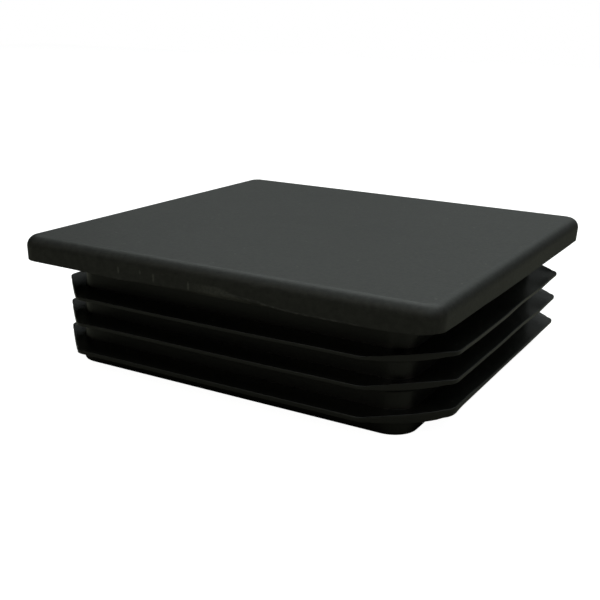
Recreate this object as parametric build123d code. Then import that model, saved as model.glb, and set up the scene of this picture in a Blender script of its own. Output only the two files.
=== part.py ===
from build123d import *
from math import radians, sqrt, tan
import os

# Ribbed end cap for a square tube, moulded in one piece of soft black polyethylene.
# A flat head covers the end of the tube, and the hollow stem with its flexible fins is pressed into it.
# Lengths are in millimetres and angles in degrees.
# The origin is the middle of the seat, the underside of the head that rests on the tube's end.
# +Z points out of the tube: the head lies above the origin, and the stem hangs below it.

# Head. Its sides lean in towards the seat.
head_width = 100.0
head_thickness = 5.7
head_corner_radius = 4.0
head_top_radius = 2.5
head_draft = 3.0

# Stem. Its walls keep one thickness, and lean out towards the rim, where its width is measured.
stem_width = 83.8
stem_length = 24.2
stem_corner_radius = 5.6
stem_wall = 2.4
stem_draft = 2.5
stem_root_radius = 0.6
rim_radius = 0.5

# Fins, each flat on top and thicker towards its root underneath.
# There are as many as fit on the stem, the last with its top at least this margin above the rim.
fin_span = 97.7
first_fin_drop = 6.5
fin_pitch = 6.15
fin_rim_margin = 4.5
fin_tip_thickness = 0.7
fin_slope = 9.5
fin_root_radius = 1.0

# Cut across the four corners of the fins, this far out from the stem's corner at the rim.
# Its ends are rounded into the fins' sides.
fin_corner_reach = 2.25
fin_cut_radius = 3.0

# Roof of the stem's hollow, which lies inside the head and leaves a skin there
skin_thickness = 3.2
roof_edge_chamfer = 0.8

# Stub that the injection gate leaves in the middle of the roof
gate_diameter = 4.0
gate_height = 0.6

# Raised marks that the ejector pins leave on the roof, near its corners
ejector_diameter = 6.0
ejector_mark_height = 0.2
ejector_spacing = 56.0

roof_height = head_thickness - skin_thickness
stem_lean = tan(radians(stem_draft))
fin_lean = tan(radians(fin_slope))
fin_overhang = (fin_span - stem_width) / 2
fin_count = int((stem_length - first_fin_drop - fin_rim_margin) / fin_pitch) + 1
fin_tops = [-first_fin_drop - index * fin_pitch for index in range(fin_count)]
stem_half_diagonal = (stem_width / 2 - stem_corner_radius) * sqrt(2) + stem_corner_radius
fin_corner_cut = fin_span - (stem_half_diagonal + fin_corner_reach) * sqrt(2)


def square_outline(width, corner_radius, height):
    """A square with round corners, centred on the Z axis at this height."""
    return Plane.XY.offset(height) * RectangleRounded(width, width, corner_radius)


def head():
    """The plate that stays outside the tube, rounded over at its upper edge and leaning in below it."""
    plate = extrude(square_outline(head_width, head_corner_radius, 0), head_thickness)
    plate = fillet(plate.faces().sort_by(Axis.Z)[-1].edges(), head_top_radius)
    shoulder = square_outline(head_width, head_corner_radius, head_thickness - head_top_radius)
    leaning_side = extrude(shoulder, head_thickness - head_top_radius, dir=(0, 0, -1), taper=head_draft)
    return plate & (extrude(shoulder, head_top_radius) + leaning_side)


def drafted_block(width, corner_radius):
    """A block from the rim up to the roof, with this width and corner radius at the rim."""
    outline = square_outline(width, corner_radius, -stem_length)
    return extrude(outline, stem_length + roof_height, taper=stem_draft)


def stem():
    """The block of the stem, not yet hollowed."""
    return drafted_block(stem_width, stem_corner_radius)


def hollow():
    """The space inside the stem, open at the rim and chamfered where its walls meet the roof."""
    block = drafted_block(stem_width - 2 * stem_wall, stem_corner_radius - stem_wall)
    return chamfer(block.faces().sort_by(Axis.Z)[-1].edges(), roof_edge_chamfer)


def fin_envelope():
    """An upright prism as wide as the fins, with its four corners cut off at 45 degrees.

    The rounded ends of a cut leave a flat between them at least as long as the fin's tip is thick.
    """
    outline = chamfer(Rectangle(fin_span, fin_span).vertices(), fin_corner_cut)
    longest_end = (fin_corner_cut * sqrt(2) - fin_tip_thickness) / 2
    widest_radius = longest_end / tan(radians(22.5))
    outline = fillet(outline.vertices(), min(fin_cut_radius, widest_radius))
    return extrude(outline, -stem_length)


def fin_root_height(top):
    """The height at which the underside of a fin with this top meets the leaning wall of the stem."""
    level = top - fin_tip_thickness - (fin_overhang + stem_length * stem_lean) * fin_lean
    return level / (1 + stem_lean * fin_lean)


def fin(top):
    """One fin all round the stem, with its flat upper face at this height.

    Its wedge runs on to the middle of the stem's wall.
    """
    underside = top - fin_tip_thickness
    outline = square_outline(fin_span, stem_corner_radius + fin_overhang, underside)
    tip = extrude(outline, fin_tip_thickness)
    wedge_height = underside - fin_root_height(top) + stem_wall / 2 * fin_lean
    wedge = extrude(outline, wedge_height, dir=(0, 0, -1), taper=90 - fin_slope)
    return (tip + wedge) & fin_envelope()


def fin_root_edges(body, top):
    """The edges where the underside of one fin meets the stem."""
    root = fin_root_height(top)
    return body.edges().filter_by_position(Axis.Z, root - 0.01, root + 0.01)


def stem_root_edges(body):
    """The edges where the stem meets the seat."""
    seat = body.faces().filter_by(Plane.XY).filter_by_position(Axis.Z, -0.01, 0.01)[0]
    return seat.inner_wires()[0].edges()


def gate_stub():
    """The short stub of the gate, hanging from the roof."""
    return extrude(Plane.XY.offset(roof_height) * Circle(gate_diameter / 2), -gate_height)


def ejector_marks():
    """Four low round pads on the roof."""
    marks = Sketch() + GridLocations(ejector_spacing, ejector_spacing, 2, 2) * Circle(ejector_diameter / 2)
    return extrude(Plane.XY.offset(roof_height) * marks, -ejector_mark_height)


def end_cap():
    """The whole moulding."""
    body = head() + stem()
    for top in fin_tops:
        body += fin(top)
    for top in fin_tops:
        body = fillet(fin_root_edges(body, top), fin_root_radius)
    body = fillet(stem_root_edges(body), stem_root_radius)
    body -= hollow()
    rim = body.faces().sort_by(Axis.Z)[0]
    body = fillet(rim.outer_wire().edges(), rim_radius)
    return body + gate_stub() + ejector_marks()


cap = end_cap()
os.makedirs("parts", exist_ok=True)
export_step(cap, "parts/end_cap.step")
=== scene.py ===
import math

import bpy
import numpy as np
from mathutils import Matrix, Vector
from mathutils.geometry import delaunay_2d_cdt


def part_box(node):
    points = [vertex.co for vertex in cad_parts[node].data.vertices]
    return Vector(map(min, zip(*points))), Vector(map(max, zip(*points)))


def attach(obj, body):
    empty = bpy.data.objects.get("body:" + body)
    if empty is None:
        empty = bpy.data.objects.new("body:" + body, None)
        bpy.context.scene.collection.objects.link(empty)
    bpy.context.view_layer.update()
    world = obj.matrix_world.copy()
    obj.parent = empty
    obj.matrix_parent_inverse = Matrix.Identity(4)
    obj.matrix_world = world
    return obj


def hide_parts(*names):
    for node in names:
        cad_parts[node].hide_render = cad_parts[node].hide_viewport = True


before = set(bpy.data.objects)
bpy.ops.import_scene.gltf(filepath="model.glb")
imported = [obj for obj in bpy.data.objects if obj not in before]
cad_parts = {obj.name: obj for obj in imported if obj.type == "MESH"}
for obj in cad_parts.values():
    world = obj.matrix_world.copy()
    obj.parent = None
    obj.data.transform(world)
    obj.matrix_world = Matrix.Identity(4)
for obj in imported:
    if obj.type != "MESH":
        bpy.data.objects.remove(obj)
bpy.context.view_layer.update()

# The moulding is made in millimetres. Blender's objects are in metres.
MM = 0.001

# Sizes of the moulding, as the CAD model has them. Heights are above the seat, the head's underside.
box_low, box_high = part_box("end_cap")
HEAD_HALF = box_high.x / MM
HEAD_TOP = box_high.z / MM
RIM = box_low.z / MM
HEAD_CORNER_RADIUS = 4.0
HEAD_TOP_RADIUS = 2.5
HEAD_LEAN = math.tan(math.radians(3.0))
STEM_HALF = 41.9
STEM_CORNER_RADIUS = 5.6
STEM_WALL = 2.4
STEM_LEAN = math.tan(math.radians(2.5))
STEM_ROOT_RADIUS = 0.6
RIM_RADIUS = 0.5
FIN_HALF = 48.85
FIN_COUNT = 3
FIRST_FIN_DROP = 6.5
FIN_PITCH = 6.15
FIN_TIP_THICKNESS = 0.7
FIN_SLOPE = math.radians(9.5)
FIN_ROOT_RADIUS = 1.0
FIN_CORNER_REACH = 2.25
FIN_CUT_RADIUS = 3.0
ROOF = 2.5
ROOF_CHAMFER = 0.8
GATE_RADIUS = 2.0
GATE_HEIGHT = 0.6
PAD_RADIUS = 3.0
PAD_HEIGHT = 0.2
PAD_PLACE = 28.0

# Finer forms than the CAD model has. The head's top sinks in its middle and over the stem's wall.
FIN_EDGE_RADIUS = 0.14
FIN_JOIN_RADIUS = 0.08
FIN_EDGE_WAVE = 0.06
RIM_EDGE_RADIUS = 0.15
PAD_EDGE_RADIUS = 0.12
PAD_FOOT = 0.06
PAD_MARGIN = 0.5
HEAD_SINK = 0.05
HEAD_SINK_WIDTH = 4.0
FLASH_REACH = 0.12
FLASH_HALF = 0.15
# How strongly the flash is painted pale for each millimetre it stands out: a painted highlight along the
# parting line
FLASH_HIGHLIGHT = 90.0

# Middles of the round corners, from the Z axis along X and along Y
HEAD_CORNER = HEAD_HALF - HEAD_CORNER_RADIUS
STEM_CORNER = STEM_HALF - STEM_CORNER_RADIUS

# Stations along a ring of points, for each quarter one side and the corner that ends it.
# ALONG is the share of the side, from -1 to 1, and TURN is the angle round the corner.
SIDE_STEPS = 112
CORNER_STEPS = 16
PAD_STEPS = 48
QUARTERS = 4
ALONG = np.tile(np.append(np.linspace(-1, 1, SIDE_STEPS, endpoint=False), np.ones(CORNER_STEPS)), QUARTERS)
TURN = np.append(np.zeros(SIDE_STEPS), np.linspace(0, math.pi / 2, CORNER_STEPS, endpoint=False))
TURN = np.tile(TURN, QUARTERS)
QUARTER = np.repeat(np.arange(QUARTERS), SIDE_STEPS + CORNER_STEPS)
STATIONS = len(QUARTER)
ROUND = np.arange(STATIONS) * 2 * math.pi / STATIONS

# Places round a ring: each quarter runs from the middle of one corner to the next, and a side fills its
# inner four fifths. The first side is the right one, so the front side runs from 3.1 to 3.9.
PLACE = QUARTER + 0.5 + 0.4 * ALONG + 0.2 * TURN / (math.pi / 2)

# How far the edges of the fins rise above the CAD model's, from the upper fin down, as (place, lift)
FIN_LIFTS = (
    ((0.0, -0.05), (0.15, -0.13), (0.24, -0.32), (0.45, -0.37), (0.5, -0.12), (0.56, 0.06), (0.63, 0.0),
     (0.72, -0.1), (0.76, 0.05), (0.82, 0.33), (1.0, 0.4), (1.5, 0.1), (2.0, -0.1), (2.5, 0.05), (3.0, 0.0),
     (3.19, 0.08), (3.28, -0.03), (3.5, -0.05), (3.65, -0.02), (3.76, 0.12), (3.87, 0.18)),
    ((0.0, 0.3), (0.15, 0.22), (0.24, 0.17), (0.45, 0.21), (0.5, 0.38), (0.58, 0.44), (0.63, 0.4),
     (0.74, 0.16), (0.82, 0.42), (0.88, 0.5), (1.0, 0.5), (1.5, 0.15), (2.0, 0.0), (2.5, 0.1), (3.0, -0.05),
     (3.15, 0.3), (3.3, 0.33), (3.5, 0.29), (3.65, 0.28), (3.76, 0.38), (3.87, 0.38)),
    ((0.0, -0.05), (0.08, 0.0), (0.12, 0.5), (0.2, 0.52), (0.26, 0.42), (0.33, 0.15), (0.5, 0.12),
     (0.63, 0.18), (0.72, 0.3), (0.85, 0.36), (1.0, 0.36), (1.5, 0.1), (2.0, 0.05), (2.5, -0.05), (3.0, 0.0),
     (3.2, 0.05), (3.5, 0.08), (3.7, 0.13), (3.87, 0.2)),
)

# How much thicker the edges of the fins are than the CAD model's, in the same way
FIN_THICKENINGS = (
    ((0.0, 0.0), (0.06, 0.0), (0.1, 0.12), (0.14, 0.16), (0.3, 0.14), (0.6, 0.06), (0.9, 0.0), (3.9, 0.0)),
    ((0.0, 0.0), (0.06, 0.0), (0.1, 0.15), (0.14, 0.1), (0.4, 0.06), (0.6, 0.1), (0.9, 0.0), (3.1, 0.05),
     (3.9, 0.05)),
    ((0.0, 0.3), (0.05, 0.45), (0.1, 0.9), (0.125, 0.75), (0.15, 0.45), (0.2, 0.43), (0.26, 0.3),
     (0.33, 0.0), (0.5, -0.1), (0.7, 0.0), (3.1, 0.2), (3.9, 0.26)),
)

# How far the head's lower edge lies above the seat, as (place, lift)
FOOT_LIFTS = (
    (0.0, 0.78), (0.1, 0.72), (0.16, 0.52), (0.28, 0.46), (0.36, 0.27), (0.45, 0.22), (0.6, 0.1), (0.8, 0.03),
    (1.0, 0.08), (1.5, 0.0), (2.0, 0.15), (2.5, 0.0), (2.9, 0.3), (3.0, 0.38), (3.1, 0.36), (3.2, 0.3),
    (3.28, 0.1), (3.34, 0.0), (3.82, 0.0), (3.86, 0.15), (3.9, 0.45), (3.95, 0.65),
)

# The mould's parting line round the head: how high above that edge it runs, and how far its flash stands
# out, as a share of the most
FLASH_HEIGHTS = (
    (0.0, 0.0), (1.0, 0.05), (2.0, 0.05), (3.0, -0.05), (3.15, -0.12), (3.33, -0.12), (3.36, 0.2),
    (3.45, 0.6), (3.57, 1.05), (3.595, 0.85), (3.62, 0.5), (3.64, 0.2), (3.67, -0.1), (3.85, -0.1),
)
FLASH_SHARES = (
    (0.0, 0.1), (0.5, 0.3), (1.0, 0.2), (1.5, 0.4), (2.0, 0.2), (2.5, 0.3), (3.0, 0.1), (3.15, 0.3),
    (3.2, 0.8), (3.32, 0.8), (3.36, 0.1), (3.53, 0.1), (3.56, 1.0), (3.61, 0.9), (3.7, 1.0), (3.8, 0.8),
    (3.85, 0.1),
)


def ring(centre, reach, height):
    """Points of a closed ring, anticlockwise from above: a square with its corners round, about centre."""
    x = centre + reach * np.cos(TURN)
    y = centre * ALONG + reach * np.sin(TURN)
    turned = QUARTER * math.pi / 2
    return np.stack([
        x * np.cos(turned) - y * np.sin(turned),
        x * np.sin(turned) + y * np.cos(turned),
        np.broadcast_to(height, STATIONS),
    ], axis=1)


def ripple(seed, fewest, most):
    """A smooth wave round a ring, between -1 and 1, made of sines with this many to that many periods."""
    draw = np.random.default_rng(seed)
    wave = np.zeros(STATIONS)
    for periods in range(fewest, most + 1):
        wave += draw.normal() * np.cos(periods * ROUND + draw.uniform(0, 2 * math.pi)) / math.sqrt(periods)
    return wave / np.abs(wave).max()


def go_round(pairs):
    """A value at each station, smoothly joined up from pairs of a place and a value."""
    values = np.interp(PLACE, *zip(*pairs), period=QUARTERS)
    for _ in range(2):
        values = (np.roll(values, 2) + values + np.roll(values, -2)) / 3
    return values


class Skin:
    """The surface of the moulding as one chain of rings, with how much each ring is worn, or on the flash
    painted pale as a highlight.

    Next to an edge the rings lie close together, so that the smooth shading keeps it crisp.
    """

    def __init__(self):
        self.rings = []
        self.wear = []

    def add(self, centre, reach, height, wear=0.0):
        self.rings.append(ring(centre, reach, height))
        self.wear.append(wear)


def quarter_turn(steps):
    """Pairs of a sine and a cosine from 0 to 90 degrees, with both ends."""
    angles = [math.pi / 2 * step / steps for step in range(steps + 1)]
    return [(math.sin(angle), math.cos(angle)) for angle in angles]


def side_reach(height):
    """How far the head's leaning side lies out from its corner centres at this height."""
    return HEAD_CORNER_RADIUS - (HEAD_TOP - HEAD_TOP_RADIUS - height) * HEAD_LEAN


def wall_reach(height):
    """How far the stem's outer wall lies out from its corner centres at this height."""
    return STEM_CORNER_RADIUS - (height - RIM) * STEM_LEAN


def hollow_reach(height):
    """How far the hollow's wall, with its chamfer under the roof, lies out in the same way."""
    return wall_reach(height) - STEM_WALL - max(height - ROOF + ROOF_CHAMFER, 0)


def fin_reach(inset):
    """How far a fin's outline, moved in by inset, lies out from the stem's corner centres."""
    half = FIN_HALF - inset
    radius = FIN_CUT_RADIUS - inset
    stem_corner = STEM_CORNER * math.sqrt(2) + STEM_CORNER_RADIUS
    cut_line = (stem_corner + FIN_CORNER_REACH - inset) * math.sqrt(2)
    arc_x = half - radius
    arc_y = cut_line - arc_x - radius * math.sqrt(2)
    past = np.clip(np.abs(ALONG) * STEM_CORNER - arc_y, 0, None)
    on_side = arc_x + np.sqrt(radius ** 2 - past ** 2) - STEM_CORNER
    angle = np.minimum(TURN, math.pi / 2 - TURN)
    to_x = arc_x - STEM_CORNER
    to_y = arc_y - STEM_CORNER
    near = to_x * np.cos(angle) + to_y * np.sin(angle)
    on_arc = near + np.sqrt(np.clip(near ** 2 - to_x ** 2 - to_y ** 2 + radius ** 2, 0, None))
    on_cut = (cut_line - 2 * STEM_CORNER) / (np.cos(angle) + np.sin(angle))
    arc_end = math.atan2(to_y + radius / math.sqrt(2), to_x + radius / math.sqrt(2))
    on_corner = np.where(angle < arc_end, on_arc, on_cut)
    return np.where(TURN > 0, on_corner, on_side)


def add_head(skin):
    """The top face from its middle, the rounded upper edge, the leaning side and the edge over the seat.

    The flash is a ridge on the side, or hangs a little below the edge where the parting line runs along it,
    and its wear value paints a pale highlight on it.
    """
    flat_reach = HEAD_CORNER_RADIUS - HEAD_TOP_RADIUS
    for share in (0.01, 0.1, 0.2, 0.3, 0.4, 0.5, 0.6, 0.68, 0.75, 0.8, 0.84, 0.88, 0.92, 0.96, 0.985, 0.997):
        over_wall = math.exp(-((share * HEAD_HALF - STEM_HALF + STEM_WALL) / HEAD_SINK_WIDTH) ** 2)
        middle = math.cos(math.pi / 2 * share)
        skin.add(HEAD_CORNER * share, flat_reach * share, HEAD_TOP - HEAD_SINK * (over_wall + middle) / 2)
    for sine, cosine in quarter_turn(12):
        reach = flat_reach + HEAD_TOP_RADIUS * sine
        skin.add(HEAD_CORNER, reach, HEAD_TOP - HEAD_TOP_RADIUS * (1 - cosine))
    shoulder = HEAD_TOP - HEAD_TOP_RADIUS
    for share in (0.95, 0.7, 0.5):
        height = share * shoulder
        skin.add(HEAD_CORNER, side_reach(height), height)
    lift = go_round(FOOT_LIFTS)
    line = lift + go_round(FLASH_HEIGHTS)
    flash = FLASH_REACH * go_round(FLASH_SHARES) * (0.8 + 0.2 * ripple(seed=5, fewest=20, most=60))
    # The flash's wear value paints a pale highlight along the parting line.
    for above, share in ((2.0, 0.0), (1.0, 0.0), (0.3, 1.0), (-0.7, 1.0)):
        height = line + above * FLASH_HALF
        skin.add(HEAD_CORNER, side_reach(height) + flash * share, height, wear=FLASH_HIGHLIGHT * share * flash)
    foot = side_reach(0)
    hanging = np.minimum(line - FLASH_HALF, lift - 0.01)
    skin.add(HEAD_CORNER, foot + 0.3 * flash, hanging, wear=0.5 * FLASH_HIGHLIGHT * flash)
    for inset, share in ((0.08, 0.5), (0.15, 0.0), (0.4, 0.0)):
        skin.add(HEAD_CORNER, foot - inset, lift + (hanging - lift) * share)


def add_stem_root(skin):
    """The seat and the round that joins it to the stem."""
    skin.add(STEM_CORNER, wall_reach(0) + STEM_ROOT_RADIUS + 0.4, 0.0)
    for sine, cosine in reversed(quarter_turn(5)):
        height = -STEM_ROOT_RADIUS * (1 - sine)
        skin.add(STEM_CORNER, wall_reach(height) + STEM_ROOT_RADIUS * (1 - cosine), height)


def fillet_points(corner, along, down, radius, steps):
    """Points of a round that fills the corner between two directions in a section."""
    half_angle = math.acos(along.dot(down)) / 2
    middle = corner + (along + down).normalized() * (radius / math.sin(half_angle))
    start = corner + along * (radius / math.tan(half_angle)) - middle
    end = corner + down * (radius / math.tan(half_angle)) - middle
    return [middle + start.slerp(end, step / steps) for step in range(steps + 1)]


def add_fin(skin, top, raised, thicker, edge_wave):
    """One fin: its join with the wall above, flat top, rounded edge, sloping underside and root.

    At each station its edge is raised and thicker by this much, and stands out by edge_wave.
    """
    join = wall_reach(top) + FIN_JOIN_RADIUS
    for sine, cosine in quarter_turn(4):
        height = top + FIN_JOIN_RADIUS * (1 - sine)
        skin.add(STEM_CORNER, wall_reach(height) + FIN_JOIN_RADIUS * (1 - cosine), height)
    edge = fin_reach(FIN_EDGE_RADIUS) + edge_wave
    for share in (0.04, 0.2, 0.4, 0.6, 0.8, 0.95, 0.99):
        skin.add(STEM_CORNER, join + (edge - join) * share, top + raised * share ** 2)
    for sine, cosine in quarter_turn(4):
        reach = fin_reach(FIN_EDGE_RADIUS * (1 - sine)) + edge_wave
        skin.add(STEM_CORNER, reach, top + raised - FIN_EDGE_RADIUS * (1 - cosine), wear=1.0)
    lean = math.tan(FIN_SLOPE)
    uncut = FIN_HALF - STEM_CORNER
    outline = fin_reach(0)
    tip = top - FIN_TIP_THICKNESS - (uncut - outline) * lean - thicker
    for share in (0.35, 0.7):
        height = tip + raised + (top - tip - FIN_EDGE_RADIUS) * (1 - share)
        skin.add(STEM_CORNER, outline + edge_wave, height)
    for sine, cosine in quarter_turn(3):
        reach = fin_reach(FIN_EDGE_RADIUS * (1 - cosine)) + edge_wave
        height = tip + raised - FIN_EDGE_RADIUS * lean + FIN_EDGE_RADIUS * (1 - sine)
        skin.add(STEM_CORNER, reach, height, wear=0.7)
    level = top - FIN_TIP_THICKNESS - (uncut - wall_reach(0)) * lean
    root_height = level / (1 + STEM_LEAN * lean)
    corner = Vector((wall_reach(root_height), root_height))
    along = Vector((math.cos(FIN_SLOPE), math.sin(FIN_SLOPE)))
    down = Vector((STEM_LEAN, -1)).normalized()
    root = fillet_points(corner, along, down, FIN_ROOT_RADIUS, 6)
    for share in (0.98, 0.8, 0.6, 0.4, 0.2, 0.04):
        reach = root[0].x + (edge - root[0].x) * share
        height = root[0].y + (tip - FIN_EDGE_RADIUS * lean - root[0].y) * share
        skin.add(STEM_CORNER, reach, height + raised * share ** 2)
    for point in root:
        skin.add(STEM_CORNER, point.x, point.y)


def add_rim(skin):
    """The foot of the stem's wall, the flat rim and the hollow's wall, up to the roof."""
    for height in (RIM + 1.2, RIM + 0.6):
        skin.add(STEM_CORNER, wall_reach(height), height)
    for sine, cosine in quarter_turn(5):
        height = RIM + RIM_RADIUS * (1 - sine)
        skin.add(STEM_CORNER, wall_reach(height) - RIM_RADIUS * (1 - cosine), height, wear=0.8)
    inner = hollow_reach(RIM)
    for share in (0.8, 0.5):
        skin.add(STEM_CORNER, inner + share * STEM_WALL - RIM_RADIUS, RIM)
    for sine, cosine in reversed(quarter_turn(3)):
        reach = inner + RIM_EDGE_RADIUS * (1 - cosine)
        skin.add(STEM_CORNER, reach, RIM + RIM_EDGE_RADIUS * (1 - sine), wear=0.8)
    bend = ROOF - ROOF_CHAMFER
    for height in (RIM + 0.5, RIM + 4, RIM + 10, RIM + 16, RIM + 22, bend - 0.3, bend - 0.05, bend + 0.05):
        skin.add(STEM_CORNER, hollow_reach(height), height)
    for height, inset in ((ROOF - 0.05, 0.02), (ROOF, 0.02), (ROOF, 0.1)):
        skin.add(STEM_CORNER, hollow_reach(height) - inset, height)


def pad_rings(radius, height):
    """Rings of a low round pad that hangs from the roof, from its foot to its face, as (radius, height)."""
    edge = min(PAD_EDGE_RADIUS, height / 2)
    rings = [(radius + PAD_MARGIN, ROOF), (radius + PAD_FOOT, ROOF), (radius, ROOF - PAD_FOOT)]
    for sine, cosine in quarter_turn(3):
        rings.append((radius - edge * (1 - cosine), ROOF - height + edge * (1 - sine)))
    rings.append((radius - edge - 0.2, ROOF - height))
    return rings


def circle(middle, radius, height):
    """Points of a level circle, anticlockwise from above."""
    angles = np.arange(PAD_STEPS) * 2 * math.pi / PAD_STEPS
    x = middle[0] + radius * np.cos(angles)
    y = middle[1] + radius * np.sin(angles)
    return np.stack([x, y, np.full(PAD_STEPS, height)], axis=1)


class MeshParts:
    """Vertices and faces that are gathered into one mesh."""

    def __init__(self):
        self.points = []
        self.wear = []
        self.faces = []

    def add_points(self, points, wear=0.0):
        """Adds the points and gives back their numbers."""
        first = len(self.points)
        self.points.extend(map(tuple, points))
        self.wear.extend(np.broadcast_to(wear, len(points)))
        return list(range(first, len(self.points)))

    def join(self, above, below):
        """A band of quads between two rings of as many points, seen from the outside."""
        following = [*range(1, len(above)), 0]
        for this, after in enumerate(following):
            self.faces.append((above[this], below[this], below[after], above[after]))

    def fan(self, rim, middle, inwards):
        """Triangles from a ring to one point in its middle."""
        following = [*range(1, len(rim)), 0]
        for this, after in enumerate(following):
            pair = (rim[this], rim[after]) if inwards else (rim[after], rim[this])
            self.faces.append((*pair, middle))


def add_roof(parts, edge):
    """The roof of the hollow inside its edge, with the gate's stub and the ejector pads on it."""
    middles = [(x, y) for x in (-PAD_PLACE, PAD_PLACE) for y in (-PAD_PLACE, PAD_PLACE)]
    bosses = [(middle, pad_rings(PAD_RADIUS, PAD_HEIGHT)) for middle in middles]
    bosses.append(((0.0, 0.0), pad_rings(GATE_RADIUS, GATE_HEIGHT)))
    loops = [edge]
    holes = []
    for middle, rings in bosses:
        loop = parts.add_points(circle(middle, *rings[0]))
        loops.append(loop)
        holes.append((middle, rings[0][0]))
        above = loop
        for radius, height in rings[1:]:
            below = parts.add_points(circle(middle, radius, height))
            parts.join(below, above)
            above = below
        parts.fan(above, parts.add_points([(*middle, rings[-1][1])])[0], inwards=False)
    numbers = [number for loop in loops for number in loop]
    flat = [Vector(parts.points[number][:2]) for number in numbers]
    borders = []
    start = 0
    for loop in loops:
        borders += [(start + this, start + (this + 1) % len(loop)) for this in range(len(loop))]
        start += len(loop)
    outline = list(range(len(edge)))
    triangles = delaunay_2d_cdt(flat, borders, [outline], 1, 1e-4)[2]
    for triangle in triangles:
        centroid = sum((flat[corner] for corner in triangle), Vector((0, 0))) / 3
        if all((centroid - Vector(place)).length > radius for place, radius in holes):
            parts.faces.append(tuple(numbers[corner] for corner in reversed(triangle)))


def make_moulding():
    """The whole moulding as one closed mesh."""
    skin = Skin()
    add_head(skin)
    add_stem_root(skin)
    for index in range(FIN_COUNT):
        top = -FIRST_FIN_DROP - index * FIN_PITCH
        edge_wave = -FIN_EDGE_WAVE * (0.5 + 0.5 * ripple(seed=21 + index, fewest=3, most=14))
        add_fin(skin, top, go_round(FIN_LIFTS[index]), go_round(FIN_THICKENINGS[index]), edge_wave)
    add_rim(skin)
    parts = MeshParts()
    middle = parts.add_points([(0, 0, skin.rings[0][0][2])])[0]
    rings = [parts.add_points(points, wear) for points, wear in zip(skin.rings, skin.wear)]
    parts.fan(rings[0], middle, inwards=True)
    for above, below in zip(rings, rings[1:]):
        parts.join(above, below)
    add_roof(parts, rings[-1])
    mesh = bpy.data.meshes.new("moulding")
    mesh.from_pydata([Vector(point) * MM for point in parts.points], [], parts.faces)
    wear = mesh.attributes.new("wear", "FLOAT", "POINT")
    wear.data.foreach_set("value", np.array(parts.wear, np.float32))
    mesh.shade_smooth()
    moulding = bpy.data.objects.new("moulding", mesh)
    bpy.context.scene.collection.objects.link(moulding)
    return moulding


class Nodes:
    """Adds the nodes of one material or world."""

    def __init__(self, tree):
        self.tree = tree
        tree.nodes.clear()

    def add(self, kind, inputs=None, **settings):
        """A node of this kind, whose inputs are linked to a socket or set to a value."""
        node = self.tree.nodes.new(kind)
        for name, value in settings.items():
            setattr(node, name, value)
        for key, value in (inputs or {}).items():
            if isinstance(value, bpy.types.NodeSocket):
                self.tree.links.new(value, node.inputs[key])
            else:
                node.inputs[key].default_value = value
        return node

    def math(self, operation, *values):
        """One sum of numbers, such as ADD or MULTIPLY."""
        return self.add("ShaderNodeMath", dict(enumerate(values)), operation=operation).outputs[0]

    def noise(self, place, size, detail):
        """Noise from 0 to 1 with spots of about this size."""
        inputs = {"Vector": place, "Scale": 1 / size, "Detail": detail}
        return self.add("ShaderNodeTexNoise", inputs).outputs[0]

    def spread(self, value, low, high, start=0.0, end=1.0):
        """Carries low..high over to start..end and holds it there."""
        inputs = {"Value": value, "From Min": low, "From Max": high, "To Min": start, "To Max": end}
        return self.add("ShaderNodeMapRange", inputs).outputs["Result"]

    def mix(self, share, start, end):
        """Goes from the colour start to the colour end as share goes from 0 to 1."""
        inputs = {"Factor": share, "A": start, "B": end}
        return self.add("ShaderNodeMix", inputs, data_type="RGBA").outputs["Result"]

    def bump(self, height, distance, strength, normal=None):
        """A normal that leans as if the surface rose by this many millimetres as height goes from 0 to 1."""
        inputs = {"Height": height, "Distance": distance * MM, "Strength": strength}
        if normal:
            inputs["Normal"] = normal
        return self.add("ShaderNodeBump", inputs).outputs["Normal"]


# Colours of the plastic, which is mottled between the first two, and of what lies or is rubbed on it and of
# the painted highlights
DARK = (0.0044, 0.0045, 0.0038, 1)
LESS_DARK = (0.0064, 0.0065, 0.0055, 1)
PALE = (0.09, 0.09, 0.08, 1)

# How much of the pale colour the head and the marks have
HEAD_PALENESS = 0.13
EDGE_PALENESS = 0.06
PATCH_PALENESS = 0.6
DUST_PALENESS = 0.9

STEM_ROUGHNESS = 0.33
HEAD_ROUGHNESS = 0.52

# The heights over which the stem's finish turns into the head's, and how far back along Y the head's front
# side begins and is full
HEAD_START = (-0.4, 0.0)
FRONT_START = (-49.0, -49.4)

# Pale scuffs down the front side of the head, each with its place along X and its lower and upper end,
# and how far from their middle lines they begin to fade and are gone
SCUFFS = ((-21.8, 0.8, 2.9), (-16.0, 1.5, 3.0), (-12.6, 0.3, 2.8), (-3.8, 0.0, 2.5))
SCUFF_FADE = (0.05, 0.4)
SCUFF_END = 0.8

# A painted highlight, a pale patch on the same side: where along X it begins and is full, at which heights it
# begins to fade
# and is gone, and from where along X these fall, by how much a millimetre
PATCH_START = (-6.5, 2.0)
PATCH_TOP = (1.9, 2.5)
PATCH_BEND = 3.5
PATCH_FALL = 0.27

# Specks of dust: the size of the cells that hold at most one, from which lot on a cell has it, and how far
# from its middle it begins to fade and is gone, as shares of the cell
DUST_CELL = 8.0
DUST_LOT = (0.6, 0.7)
DUST_FADE = (0.02, 0.04)


def on_front_side(nodes, y):
    """1 on the front side of the head and 0 behind it."""
    return nodes.spread(y, *FRONT_START)


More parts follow.
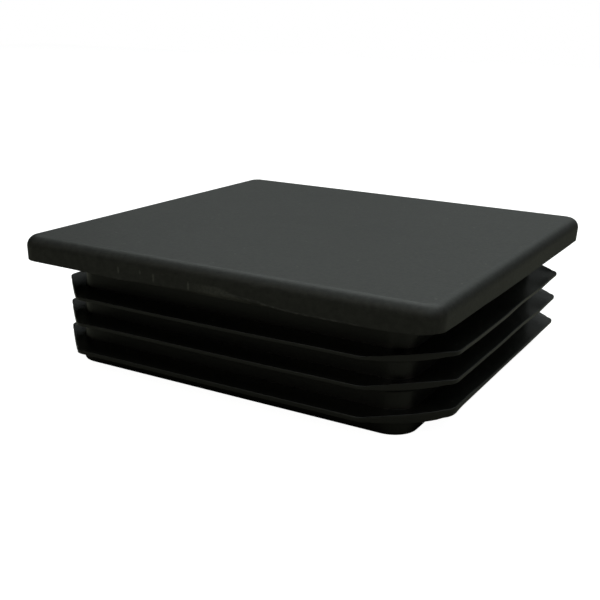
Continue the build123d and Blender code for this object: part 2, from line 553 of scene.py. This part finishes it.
def scuff_marks(nodes, place):
    """Where the scuffs are, from 0 to 1."""
    x, y, z = nodes.add("ShaderNodeSeparateXYZ", {0: place}).outputs
    marks = 0.0
    for middle, low, high in SCUFFS:
        half = (high - low) / 2
        beside = nodes.math("ABSOLUTE", nodes.math("SUBTRACT", x, middle))
        beyond = nodes.math("ABSOLUTE", nodes.math("SUBTRACT", z, (low + high) / 2))
        across = nodes.spread(beside, *SCUFF_FADE, 1.0, 0.0)
        lengthwise = nodes.spread(beyond, half - SCUFF_END, half, 1.0, 0.0)
        marks = nodes.math("MAXIMUM", marks, nodes.math("MULTIPLY", across, lengthwise))
    return nodes.math("MULTIPLY", on_front_side(nodes, y), marks)


def painted_highlight_patch(nodes, place):
    """The painted highlight, a pale patch under the wave of the parting line, from 0 to 1."""
    x, y, z = nodes.add("ShaderNodeSeparateXYZ", {0: place}).outputs
    past = nodes.math("MAXIMUM", nodes.math("SUBTRACT", x, PATCH_BEND), 0.0)
    level = nodes.math("ADD", z, nodes.math("MULTIPLY", past, PATCH_FALL))
    sides = nodes.math("MULTIPLY", on_front_side(nodes, y), nodes.spread(x, *PATCH_START))
    return nodes.math("MULTIPLY", sides, nodes.spread(level, *PATCH_TOP, 1.0, 0.0))


def dust_specks(nodes, place):
    """Where single specks of dust lie on the level faces, from 0 to 1: one in some of the cells."""
    inputs = {"Vector": place, "Scale": 1 / DUST_CELL}
    cells = nodes.add("ShaderNodeTexVoronoi", inputs, voronoi_dimensions="2D").outputs
    lot = nodes.add("ShaderNodeSeparateXYZ", {0: cells["Color"]}).outputs["X"]
    middles = nodes.spread(cells["Distance"], *DUST_FADE, 1.0, 0.0)
    specks = nodes.math("MULTIPLY", nodes.spread(lot, *DUST_LOT), middles)
    normal = nodes.add("ShaderNodeNewGeometry").outputs["Normal"]
    upward = nodes.add("ShaderNodeSeparateXYZ", {0: normal}).outputs["Z"]
    return nodes.math("MULTIPLY", nodes.spread(upward, 0.8, 0.95), specks)


def black_polyethylene():
    """Soft black plastic: satin, faintly mottled and grained, rubbed paler along its edges and scuffed, with
    painted highlights on the flash and in a pale patch on the front side.

    The head is textured by its mould, so it is paler and less glossy than the stem.
    """
    material = bpy.data.materials.new("moulded_black_polyethylene")
    material.use_nodes = True
    nodes = Nodes(material.node_tree)
    metres = nodes.add("ShaderNodeTexCoord").outputs["Object"]
    place = nodes.add("ShaderNodeVectorMath", {0: metres, 1: (1 / MM,) * 3}, operation="MULTIPLY").outputs[0]
    height = nodes.add("ShaderNodeSeparateXYZ", {0: place}).outputs["Z"]
    on_head = nodes.spread(height, *HEAD_START)
    mottling = nodes.noise(place, size=22.0, detail=4.0)
    grain = nodes.noise(place, size=0.5, detail=3.0)

    # The wear value holds real wear on the edges of the fins and the rim, and a painted highlight on the
    # flash.
    wear = nodes.add("ShaderNodeAttribute", attribute_name="wear").outputs["Fac"]
    broken = nodes.spread(nodes.noise(place, size=1.6, detail=5.0), 0.42, 0.62)
    edges = nodes.math("MULTIPLY", nodes.math("MULTIPLY", wear, broken), EDGE_PALENESS)
    patchy = nodes.spread(nodes.noise(place, size=1.1, detail=2.0), 0.35, 0.65, 0.6, 1.4)
    head = nodes.math("MULTIPLY", nodes.math("MULTIPLY", patchy, on_head), HEAD_PALENESS)
    ragged = nodes.spread(grain, 0.3, 0.6, 0.5, 1.0)
    scuffs = nodes.math("MULTIPLY", scuff_marks(nodes, place), ragged)
    # A painted highlight: the pale patch on the front side of the head
    patch = nodes.math("MULTIPLY", nodes.math("MULTIPLY", painted_highlight_patch(nodes, place), ragged), PATCH_PALENESS)
    dust = nodes.math("MULTIPLY", dust_specks(nodes, place), DUST_PALENESS)
    pale = head
    for mark in (edges, scuffs, patch, dust):
        pale = nodes.math("MAXIMUM", pale, mark)
    plastic = nodes.mix(nodes.spread(mottling, 0.35, 0.65), DARK, LESS_DARK)

    finish = nodes.spread(on_head, 0.0, 1.0, STEM_ROUGHNESS, HEAD_ROUGHNESS)
    for texture, most in ((mottling, 0.03), (grain, 0.02)):
        finish = nodes.math("ADD", finish, nodes.spread(texture, 0.3, 0.7, -most, most))
    uneven = nodes.bump(nodes.noise(place, size=14.0, detail=2.0), distance=0.25, strength=0.25)
    shader = nodes.add("ShaderNodeBsdfPrincipled", {
        "Base Color": nodes.mix(pale, plastic, PALE),
        "Roughness": finish,
        "Normal": nodes.bump(grain, distance=0.03, strength=0.8, normal=uneven),
    })
    nodes.add("ShaderNodeOutputMaterial", {"Surface": shader.outputs["BSDF"]})
    return material


# The camera stands where the photograph's did. Its place is in metres, its lens and sensor in millimetres.
CAMERA_PLACE = Vector((0.10628, -0.20436, 0.05464))
CAMERA_YAW = math.radians(30.45)
CAMERA_PITCH = math.radians(16.49)
CAMERA_ROLL = math.radians(1.27)
CAMERA_LENS = 58.32
CAMERA_SENSOR = 36.0
CAMERA_SHIFT = 0.05


def make_camera():
    """The camera, which looks along its yaw, down by its pitch, and is rolled about its own axis."""
    data = bpy.data.cameras.new("camera")
    data.lens = CAMERA_LENS
    data.sensor_width = CAMERA_SENSOR
    data.shift_x = CAMERA_SHIFT
    data.clip_start = 0.01
    camera = bpy.data.objects.new("camera", data)
    bpy.context.scene.collection.objects.link(camera)
    level = Vector((math.cos(CAMERA_YAW), math.sin(CAMERA_YAW), 0))
    forward = Vector((-math.sin(CAMERA_YAW), math.cos(CAMERA_YAW), 0))
    back = Vector((0, 0, math.sin(CAMERA_PITCH))) - forward * math.cos(CAMERA_PITCH)
    upright = back.cross(level)
    right = level * math.cos(CAMERA_ROLL) + upright * math.sin(CAMERA_ROLL)
    up = upright * math.cos(CAMERA_ROLL) - level * math.sin(CAMERA_ROLL)
    camera.matrix_world = Matrix.Translation(CAMERA_PLACE) @ Matrix((right, up, back)).transposed().to_4x4()
    bpy.context.scene.camera = camera


WHITE = (1, 1, 1, 1)

# The floor's half width, its glow and its colour as the camera sees it, and its colour in reflections
FLOOR_HALF = 1.5
FLOOR_GLOW = 0.975
FLOOR_GREY = (0.5, 0.5, 0.5, 1)
FLOOR_REFLECTED = (0.28, 0.275, 0.225, 1)

# Colours of the light from the windows behind and above, and of the warmer light from the room in front
# and from the right
DAYLIGHT = (0.955, 1.035, 1.01)
ROOM_LIGHT = (1.08, 1.06, 0.86)
SIDE_LIGHT = (1.10, 1.00, 0.90)


def make_world():
    """White behind the object, and black in its reflections."""
    world = bpy.data.worlds.new("studio")
    bpy.context.scene.world = world
    world.use_nodes = True
    nodes = Nodes(world.node_tree)
    seen = nodes.add("ShaderNodeLightPath").outputs["Is Camera Ray"]
    backdrop = nodes.add("ShaderNodeBackground", {"Color": WHITE, "Strength": seen})
    nodes.add("ShaderNodeOutputWorld", {"Surface": backdrop.outputs[0]})


def make_floor():
    """A pale table top under the rim. From below it lets the view through."""
    low = box_low.z
    corners = [(x * FLOOR_HALF, y * FLOOR_HALF, low) for x, y in ((-1, -1), (1, -1), (1, 1), (-1, 1))]
    mesh = bpy.data.meshes.new("floor")
    mesh.from_pydata(corners, [], [(0, 1, 2, 3)])
    floor = bpy.data.objects.new("floor", mesh)
    bpy.context.scene.collection.objects.link(floor)
    material = bpy.data.materials.new("floor")
    material.use_nodes = True
    nodes = Nodes(material.node_tree)
    seen = nodes.add("ShaderNodeLightPath").outputs["Is Camera Ray"]
    below = nodes.add("ShaderNodeNewGeometry").outputs["Backfacing"]
    glow = nodes.add("ShaderNodeEmission", {"Color": WHITE, "Strength": FLOOR_GLOW})
    matt = nodes.add("ShaderNodeBsdfDiffuse", {"Color": FLOOR_GREY})
    pale = nodes.add("ShaderNodeAddShader", {0: glow.outputs[0], 1: matt.outputs[0]})
    reflected = nodes.add("ShaderNodeBsdfDiffuse", {"Color": FLOOR_REFLECTED})
    upper = nodes.add("ShaderNodeMixShader", {0: seen, 1: reflected.outputs[0], 2: pale.outputs[0]})
    clear = nodes.add("ShaderNodeBsdfTransparent")
    both = nodes.add("ShaderNodeMixShader", {0: below, 1: upper.outputs[0], 2: clear.outputs[0]})
    nodes.add("ShaderNodeOutputMaterial", {"Surface": both.outputs[0]})
    mesh.materials.append(material)


def make_softbox(name, azimuth, elevation, distance, width, height, radiance, colour=DAYLIGHT):
    """A rectangular light that faces the object from this azimuth, counted from +X, and elevation.

    Its distance and size are in metres.
    """
    data = bpy.data.lights.new(name, "AREA")
    data.shape = "RECTANGLE"
    data.size = width
    data.size_y = height
    data.energy = radiance * math.pi * width * height
    data.color = colour
    light = bpy.data.objects.new(name, data)
    bpy.context.scene.collection.objects.link(light)
    azimuth = math.radians(azimuth)
    elevation = math.radians(elevation)
    outward = Vector((
        math.cos(azimuth) * math.cos(elevation),
        math.sin(azimuth) * math.cos(elevation),
        math.sin(elevation),
    ))
    light.location = outward * distance
    light.rotation_euler = outward.to_track_quat("Z", "Y").to_euler()


moulding = make_moulding()
moulding.data.materials.append(black_polyethylene())
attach(moulding, "root")
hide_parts("end_cap")

make_camera()
make_world()
make_floor()
# Each light's name, azimuth, elevation, distance, width, height, radiance and colour
make_softbox("overhead", 0, 90, 1.0, 1.6, 1.6, 0.40)
make_softbox("over_back", 106, 58, 1.0, 1.2, 0.7, 1.36)
make_softbox("over_right", 0, 60, 1.0, 1.0, 0.8, 0.50)
make_softbox("over_front", 280, 58, 1.0, 1.0, 0.7, 0.35)
make_softbox("back", 100, 35, 1.2, 1.4, 0.45, 0.60)
make_softbox("back_low", 90, 6, 1.2, 0.9, 0.24, 0.26)
make_softbox("front", 255, 35, 1.2, 0.9, 0.45, 0.76, ROOM_LIGHT)
make_softbox("front_low", 270, 6, 1.2, 0.9, 0.24, 0.15, ROOM_LIGHT)
make_softbox("right", 0, 18, 1.2, 0.8, 0.3, 0.51, SIDE_LIGHT)
bpy.context.scene.view_settings.view_transform = "Standard"
